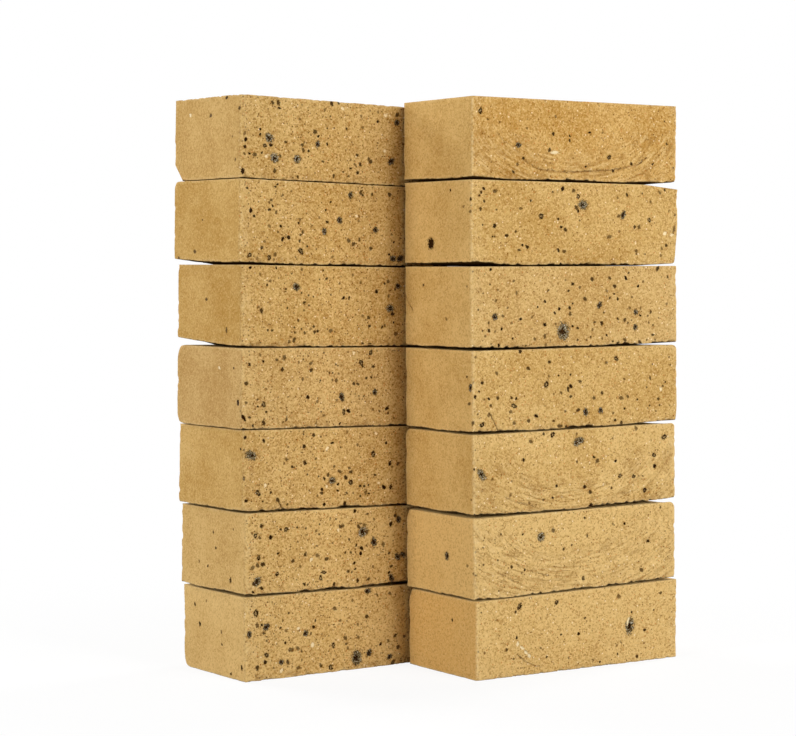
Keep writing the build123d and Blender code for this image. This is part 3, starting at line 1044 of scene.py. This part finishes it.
def build_mesh(brick, shown_top):
    """The worn mesh of one brick, with what its material needs written on its points."""
    wall = Wall(brick)
    rows = Rows(wall)
    smooth_points, relief, looks = shape_faces(rows)
    points = rows.place(rows.inset + FACE_CLEARANCE + relief * rows.on_wall)
    top_points, top_faces = fill_top(brick, points[:, -1, :2], shown_top)
    bed_inner, bed_faces = fill_bed(points[:, 0, :2], HIDDEN_BED_STEP)
    bed_points = np.column_stack((bed_inner, np.full(len(bed_inner), brick.floor)))
    whole_points = np.vstack((points.reshape(-1, 3), top_points, bed_points))
    all_points = wear_corners(brick, whole_points.copy())

    # Faces: the wall's quads, then the beds' triangles
    column, row = np.meshgrid(np.arange(wall.count), np.arange(rows.count - 1), indexing="ij")
    here = column * rows.count + row
    after = (column + 1) % wall.count * rows.count + row
    quads = np.stack((here, after, after + 1, here + 1), axis=-1).reshape(-1, 4)
    ring = wall.count * rows.count
    low_ring = np.arange(wall.count) * rows.count
    top_index = np.concatenate((low_ring + rows.count - 1, ring + np.arange(len(top_points))))
    bed_index = np.concatenate((low_ring, ring + len(top_points) + np.arange(len(bed_inner))))
    top_caps = [[int(top_index[corner]) for corner in face] for face in top_faces]
    bed_caps = [[int(bed_index[corner]) for corner in reversed(face)] for face in bed_faces]

    low_corner, high_corner = np.array(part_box(brick.name))
    places = np.clip(brick.to_frame(all_points) * METRES, low_corner, high_corner)
    mesh = bpy.data.meshes.new(brick.name + "_worn")
    mesh.from_pydata(places.tolist(), [], quads.tolist() + top_caps + bed_caps)
    mesh.polygons.foreach_set("use_smooth", np.ones(len(mesh.polygons), dtype=bool))

    steps = np.linalg.norm(np.diff(smooth_points, axis=1), axis=-1).mean(axis=0)
    steps[:len(MARGIN_SHARES)] *= HIDDEN_SQUEEZE
    row_place = np.concatenate(([0.0], np.cumsum(steps))) / steps.sum()
    wall_map = map_wall(wall, row_place, column.reshape(-1), row.reshape(-1))
    top_map = map_bed(brick, all_points, top_caps, 0.0, 1)
    bed_map = map_bed(brick, all_points, bed_caps, 0.5, -1)
    uv_map = mesh.uv_layers.new(name="OFBake")
    uv_map.data.foreach_set("uv", np.vstack((wall_map, top_map, bed_map)).ravel())

    # Where a corner is worn away, the joint's dust and painted shade are gone too
    worn_away = np.linalg.norm(all_points - whole_points, axis=1)[:ring].reshape(wall.count, rows.count)
    joint_dust_and_shade, unshaded_value = looks["joint"]
    looks["joint"] = (joint_dust_and_shade * (1 - smooth_step(worn_away, *SHADE_GONE_WEAR)), unshaded_value)
    for name, (values, rest) in looks.items():
        write_on_points(mesh, name, values, rest)
    mesh.validate()
    return mesh


def write_on_points(mesh, name, values, rest):
    """A number or a vector on each point, for the material, with one for all that come after those given."""
    rest = np.asarray(rest, dtype=float)
    given = np.asarray(values, dtype=float).reshape(-1, *rest.shape)
    extra = np.broadcast_to(rest, (len(mesh.vertices) - len(given), *rest.shape))
    kind, key = ("FLOAT_VECTOR", "vector") if rest.ndim else ("FLOAT", "value")
    attribute = mesh.attributes.new(name, kind, "POINT")
    attribute.data.foreach_set(key, np.concatenate((given, extra)).ravel())


def srgb(red, green, blue):
    """A colour as a picture shows it, from 0 to 255, in the linear values that a shader takes."""
    shares = [value / 255 for value in (red, green, blue)]
    linear = [share / 12.92 if share <= 0.04045 else ((share + 0.055) / 1.055) ** 2.4 for share in shares]
    return (*linear, 1.0)


class Wiring:
    """Short ways to add and link the nodes of one material."""

    def __init__(self, tree):
        self.tree = tree
        self.tree.nodes.clear()

    def add(self, kind, inputs=None, **settings):
        """A node with its settings, and its inputs as values or links. Gives the node's outputs."""
        made = self.tree.nodes.new(kind)
        for key, value in settings.items():
            setattr(made, key, value)
        for key, value in (inputs or {}).items():
            if isinstance(value, bpy.types.NodeSocket):
                self.tree.links.new(value, made.inputs[key])
            else:
                made.inputs[key].default_value = value
        return made.outputs

    def math(self, operation, *values):
        return self.add("ShaderNodeMath", dict(enumerate(values)), operation=operation)[0]

    def times(self, first, second):
        return self.math("MULTIPLY", first, second)

    def minus(self, first, second):
        return self.math("SUBTRACT", first, second)

    def vectors(self, operation, inputs):
        return self.add("ShaderNodeVectorMath", inputs, operation=operation)

    def rise(self, value, low, high, low_out=0.0, high_out=1.0):
        """A smooth step of a value."""
        inputs = {"Value": value, "From Min": low, "From Max": high, "To Min": low_out, "To Max": high_out}
        return self.add("ShaderNodeMapRange", inputs, interpolation_type="SMOOTHSTEP")["Result"]

    def mix(self, share, first, second):
        return self.add("ShaderNodeMix", {0: share, 6: first, 7: second}, data_type="RGBA")[2]

    def noise(self, coords, scale, detail, roughness=0.5, output="Fac"):
        inputs = {"Vector": coords, "Scale": scale, "Detail": detail, "Roughness": roughness}
        return self.add("ShaderNodeTexNoise", inputs)[output]

    def cells(self, coords, scale):
        return self.add("ShaderNodeTexVoronoi", {"Vector": coords, "Scale": scale})

    def attribute(self, name, output="Fac"):
        return self.add("ShaderNodeAttribute", attribute_name=name)[output]

    def split(self, colour):
        return self.add("ShaderNodeSeparateColor", {0: colour})


def make_clay(name, varied_roughness):
    """Buff clay: mottled, grainy on the long faces, flecked and full of iron spots."""
    material = bpy.data.materials.new(name)
    material.use_nodes = True
    wiring = Wiring(material.node_tree)
    place = wiring.add("ShaderNodeTexCoord")["Object"]
    coords = wiring.vectors("SCALE", {0: place, "Scale": 1 / METRES})[0]
    grainy = wiring.attribute("grainy")
    warm = wiring.attribute("warm")

    # Broad mottling, then the grain of the torn faces, and painted shade in the hollows of their marks
    mottle = wiring.noise(coords, 0.024, 3.0)
    patch = wiring.rise(wiring.noise(coords, 0.12, 2.0), 0.35, 0.65, -0.07, 0.07)
    shade = wiring.math("ADD", wiring.rise(mottle, 0.3, 0.7, 0.3, 0.7), patch)
    shade = wiring.minus(shade, wiring.times(wiring.attribute("pale"), 0.5))
    colour = wiring.mix(shade, srgb(226, 189, 121), srgb(188, 145, 74))
    colour = wiring.mix(wiring.rise(warm, 0.0, 1.0), colour, srgb(212, 150, 62))
    colour = wiring.mix(wiring.rise(warm, 0.0, -1.0), colour, srgb(206, 176, 136))
    fine_grain = wiring.noise(coords, 0.6, 5.0, 0.85)
    grit = wiring.split(wiring.cells(coords, 0.8)["Color"])[0]
    grain = wiring.math("ADD", wiring.times(fine_grain, 0.7), wiring.times(grit, 0.3))
    dark_grain = wiring.times(wiring.rise(grain, 0.5, 0.7), wiring.rise(grainy, 0.0, 1.0, 0.38, 0.74))
    colour = wiring.mix(dark_grain, colour, srgb(150, 96, 28))
    pale_grain = wiring.times(wiring.rise(grain, 0.5, 0.3), wiring.rise(grainy, 0.0, 1.0, 0.32, 0.7))
    colour = wiring.mix(pale_grain, colour, srgb(238, 206, 144))
    # Painted shade in the hollows of the grain, crumbs, drag marks and cracks
    colour = wiring.mix(wiring.times(wiring.attribute("hollow"), 0.5), colour, srgb(140, 92, 36))

    # Drag marks: fine dark and pale streaks along their curves; the dark streaks are painted shade in their
    # grooves
    drag = wiring.add("ShaderNodeSeparateXYZ", {0: wiring.attribute("drag", "Vector")})
    across = wiring.times(drag[0], 0.52)
    along = wiring.times(drag[1], 0.045)
    streak = wiring.noise(wiring.add("ShaderNodeCombineXYZ", {0: across, 1: along})[0], 1.0, 3.0, 0.65)
    # The dark streaks are painted shade in the drag grooves
    dark_streak = wiring.times(wiring.rise(streak, 0.52, 0.64), drag[2])
    colour = wiring.mix(wiring.times(dark_streak, 0.45), colour, srgb(150, 102, 44))
    pale_streak = wiring.times(wiring.rise(streak, 0.48, 0.36), drag[2])
    colour = wiring.mix(wiring.times(pale_streak, 0.45), colour, srgb(244, 214, 154))

    # Pits darkened with painted shade, and small flecks of cream, orange and dark clay
    often = wiring.rise(grainy, 0.0, 0.6, 0.12, 1.0)
    holes = wiring.cells(coords, 0.45)
    pit = wiring.times(wiring.rise(holes["Distance"], 0.36, 0.2), often)
    share = wiring.rise(grainy, 0.5, 1.0, 0.06, 0.19)
    pit = wiring.times(pit, wiring.math("LESS_THAN", wiring.split(holes["Color"])[2], share))
    # The pits' dark colour is painted shade
    pit_colour = wiring.mix(wiring.rise(grainy, 0.6, 0.95), srgb(124, 76, 20), srgb(94, 54, 10))
    colour = wiring.mix(wiring.times(pit, 0.85), colour, pit_colour)
    flecks = wiring.cells(coords, 0.34)
    pick = wiring.split(flecks["Color"])[0]
    dot = wiring.times(wiring.rise(flecks["Distance"], 0.28, 0.16), often)
    cream = wiring.times(dot, wiring.math("LESS_THAN", pick, 0.1))
    colour = wiring.mix(cream, colour, srgb(244, 222, 178))
    orange = wiring.times(dot, wiring.math("GREATER_THAN", pick, 0.84))
    colour = wiring.mix(wiring.times(orange, 0.7), colour, srgb(200, 122, 56))
    specks = wiring.cells(coords, 0.15)
    speck = wiring.rise(specks["Distance"], 0.18, 0.09)
    speck = wiring.times(speck, wiring.math("LESS_THAN", wiring.split(specks["Color"])[1], 0.14))
    speck = wiring.times(speck, often)
    colour = wiring.mix(wiring.times(speck, 0.85), colour, srgb(66, 42, 16))

    # Worn arrises are paler, joints are darkened with dust and painted shade, and cracks are thin dark lines
    # of painted shade
    patchy = wiring.rise(wiring.noise(coords, 0.5, 3.0), 0.35, 0.65, 0.0, 0.75)
    colour = wiring.mix(wiring.times(wiring.attribute("worn"), patchy), colour, srgb(232, 202, 146))
    # Dust and painted shade in the joints
    colour = wiring.mix(wiring.times(wiring.attribute("joint"), 0.9), colour, srgb(34, 20, 8))
    jitter = wiring.rise(wiring.noise(coords, 0.4, 3.0), 0.2, 0.8, -0.9, 0.9)
    off_crack = wiring.math("ABSOLUTE", wiring.math("ADD", wiring.attribute("crack_across"), jitter))
    crack = wiring.times(wiring.rise(off_crack, 0.75, 0.3), wiring.attribute("crack"))
    broken = wiring.rise(wiring.noise(coords, 0.14, 2.0), 0.4, 0.6, 0.3, 1.0)
    crack = wiring.times(crack, broken)
    # The cracks' dark lines are painted shade
    colour = wiring.mix(wiring.times(crack, 0.85), colour, srgb(84, 54, 26))

    # Spots: dark iron, grey slag round a dark core, a dark ring or a pale scar, each with a faint stain, and
    # painted highlights on the grey halos
    swirl = wiring.noise(coords, 0.8, 2.0, output="Color")
    shake = wiring.vectors("SUBTRACT", {0: swirl, 1: (0.5, 0.5, 0.5)})[0]
    glint = wiring.noise(coords, 1.1, 1.0)
    halo_colour = wiring.mix(wiring.rise(glint, 0.4, 0.6), srgb(82, 64, 36), srgb(158, 140, 100))
    # Near-white glints on the grey halos are painted highlights
    halo_colour = wiring.mix(wiring.rise(glint, 0.58, 0.68), halo_colour, srgb(206, 202, 186))
    middle_colour = wiring.mix(wiring.rise(glint, 0.4, 0.6), srgb(114, 88, 48), srgb(178, 150, 102))
    spot_cover = 0.0
    for layer in range(SPOT_LAYERS):
        offset = wiring.attribute(f"spot_{layer}", "Vector")
        shaken = wiring.vectors("MULTIPLY_ADD", {0: shake, 1: (1.8, 1.8, 0.0), 2: offset})[0]
        away = wiring.vectors("LENGTH", {0: shaken})["Value"]
        tone = wiring.attribute(f"tone_{layer}")
        scar = wiring.rise(tone, 1.2, 1.8)
        stain = wiring.rise(away, 1.5, 0.95, 0.0, 0.36)
        colour = wiring.mix(stain, colour, wiring.mix(scar, srgb(134, 86, 24), srgb(214, 180, 122)))
        faint = wiring.rise(tone, -FAINTNESS[SPECK], 0.0, 0.45, 1.0)
        body = wiring.times(wiring.rise(away, 1.08, 0.84), faint)
        colour = wiring.mix(body, colour, wiring.mix(scar, srgb(42, 22, 2), srgb(246, 224, 176)))
        grey = wiring.minus(wiring.rise(tone, 0.2, 0.5), wiring.rise(tone, 0.6, 0.9))
        halo = wiring.times(grey, wiring.rise(away, 0.34, 0.6))
        colour = wiring.mix(wiring.times(halo, body), colour, halo_colour)
        ringed = wiring.minus(wiring.rise(tone, 0.7, 0.95), scar)
        middle = wiring.times(ringed, wiring.rise(away, 0.56, 0.34))
        colour = wiring.mix(middle, colour, middle_colour)
        spot_cover = wiring.math("MAXIMUM", body, spot_cover)

    # Fine relief
    fine = wiring.noise(coords, 0.8, 4.0, 0.7)
    height = wiring.times(fine, wiring.rise(grainy, 0.0, 1.0, 0.35, 1.3))
    for hole, depth in ((spot_cover, 0.5), (speck, 0.6), (pit, 0.5), (crack, 0.8), (dark_streak, 0.5)):
        height = wiring.minus(height, wiring.times(hole, depth))
    bump = wiring.add("ShaderNodeBump", {"Strength": 1.0, "Distance": BUMP_HEIGHT * METRES, "Height": height})

    roughness = EVEN_ROUGHNESS
    if varied_roughness:
        roughness = wiring.rise(spot_cover, 0.0, 1.0, CLAY_ROUGHNESS, SPOT_ROUGHNESS)
    shader = wiring.add("ShaderNodeBsdfPrincipled", {
        "Base Color": colour,
        "Normal": bump["Normal"],
        "Specular IOR Level": CLAY_SPECULAR,
        "Roughness": roughness,
    })
    wiring.add("ShaderNodeOutputMaterial", {"Surface": shader[0]})
    return material


def make_camera():
    """The camera that took the photograph."""
    data = bpy.data.cameras.new("photo_camera")
    data.sensor_fit = "HORIZONTAL"
    data.sensor_width = SENSOR_WIDTH
    data.lens = FOCAL_PIXELS / IMAGE_WIDTH * SENSOR_WIDTH
    data.clip_start = 0.05
    data.clip_end = 60.0
    camera = bpy.data.objects.new("photo_camera", data)
    right, up, forward = camera_axes()
    turned = Matrix((right, up, -forward)).transposed().to_4x4()
    camera.matrix_world = Matrix.Translation(CAMERA_PLACE * METRES) @ turned
    bpy.context.scene.collection.objects.link(camera)
    bpy.context.scene.camera = camera


def seen_rays(wiring):
    """1 for rays that show the background: the camera's own and those from gloss or glass."""
    path = wiring.add("ShaderNodeLightPath")
    shown = wiring.math("MAXIMUM", path["Is Camera Ray"], path["Is Glossy Ray"])
    return wiring.math("MAXIMUM", shown, path["Is Transmission Ray"])


def make_stage():
    """A pale floor that keeps a soft shadow, a white background and soft light."""
    world = bpy.data.worlds.new("studio")
    bpy.context.scene.world = world
    world.use_nodes = True
    wiring = Wiring(world.node_tree)
    light = wiring.add("ShaderNodeBackground", {"Color": WHITE, "Strength": WORLD_LEVEL})[0]
    backdrop = wiring.add("ShaderNodeBackground", {"Color": WHITE, "Strength": 1.0})[0]
    chosen = wiring.add("ShaderNodeMixShader", {0: seen_rays(wiring), 1: light, 2: backdrop})[0]
    wiring.add("ShaderNodeOutputWorld", {"Surface": chosen})

    half = FLOOR_WIDTH / 2
    corners = [(-half, -half, 0), (half, -half, 0), (half, half, 0), (-half, half, 0)]
    mesh = bpy.data.meshes.new("floor")
    mesh.from_pydata(corners, [], [(0, 1, 2, 3)])
    floor = bpy.data.objects.new("floor", mesh)
    bpy.context.scene.collection.objects.link(floor)
    material = bpy.data.materials.new("pale_floor")
    material.use_nodes = True
    wiring = Wiring(material.node_tree)
    paint = wiring.add("ShaderNodeBsdfDiffuse", {"Color": FLOOR_COLOUR})[0]
    shaded = wiring.add("ShaderNodeBsdfDiffuse", {"Color": WHITE})[0]
    glow = wiring.add("ShaderNodeEmission", {"Strength": 1.0})[0]
    away = wiring.vectors("LENGTH", {0: wiring.add("ShaderNodeTexCoord")["Object"]})["Value"]
    shadow = wiring.rise(away, SHADOW_REACH, FULL_SHADOW, 0.0, SHADOW_SHARE)
    white = wiring.add("ShaderNodeMixShader", {0: shadow, 1: glow, 2: shaded})[0]
    chosen = wiring.add("ShaderNodeMixShader", {0: seen_rays(wiring), 1: paint, 2: white})[0]
    wiring.add("ShaderNodeOutputMaterial", {"Surface": chosen})
    mesh.materials.append(material)

    for name, turn, width, level in SOFTBOXES:
        data = bpy.data.lights.new(name, "AREA")
        data.shape = "RECTANGLE"
        data.size = width
        data.size_y = SOFTBOX_HEIGHT
        data.energy = level * math.pi**2 * SOFTBOX_DISTANCE**2
        lamp = bpy.data.objects.new(name, data)
        angle = math.radians(turn)
        flat = math.cos(SOFTBOX_RISE)
        away = Vector((math.sin(angle) * flat, -math.cos(angle) * flat, math.sin(SOFTBOX_RISE)))
        lamp.location = Vector(LIGHT_TARGET) + away * SOFTBOX_DISTANCE
        lamp.rotation_mode = "QUATERNION"
        lamp.rotation_quaternion = (-away).to_track_quat("-Z", "Y")
        bpy.context.scene.collection.objects.link(lamp)


bpy.context.scene.view_settings.view_transform = "Standard"
make_camera()
make_stage()

varied_clay = make_clay("buff_clay", True)
even_clay = make_clay("buff_clay_even", False)

names = [f"{side}_brick_{course}" for side in ("left", "right") for course in COURSES]
for number, name in enumerate(names):
    brick = Brick(name, 100 * (number + 1))
    mesh = build_mesh(brick, shown_top=name.endswith("_7"))
    mesh.materials.append(even_clay if name in EVEN_BRICKS else varied_clay)
    piece = bpy.data.objects.new("worn_" + name, mesh)
    bpy.context.scene.collection.objects.link(piece)
    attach(piece, "root")
    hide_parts(name)
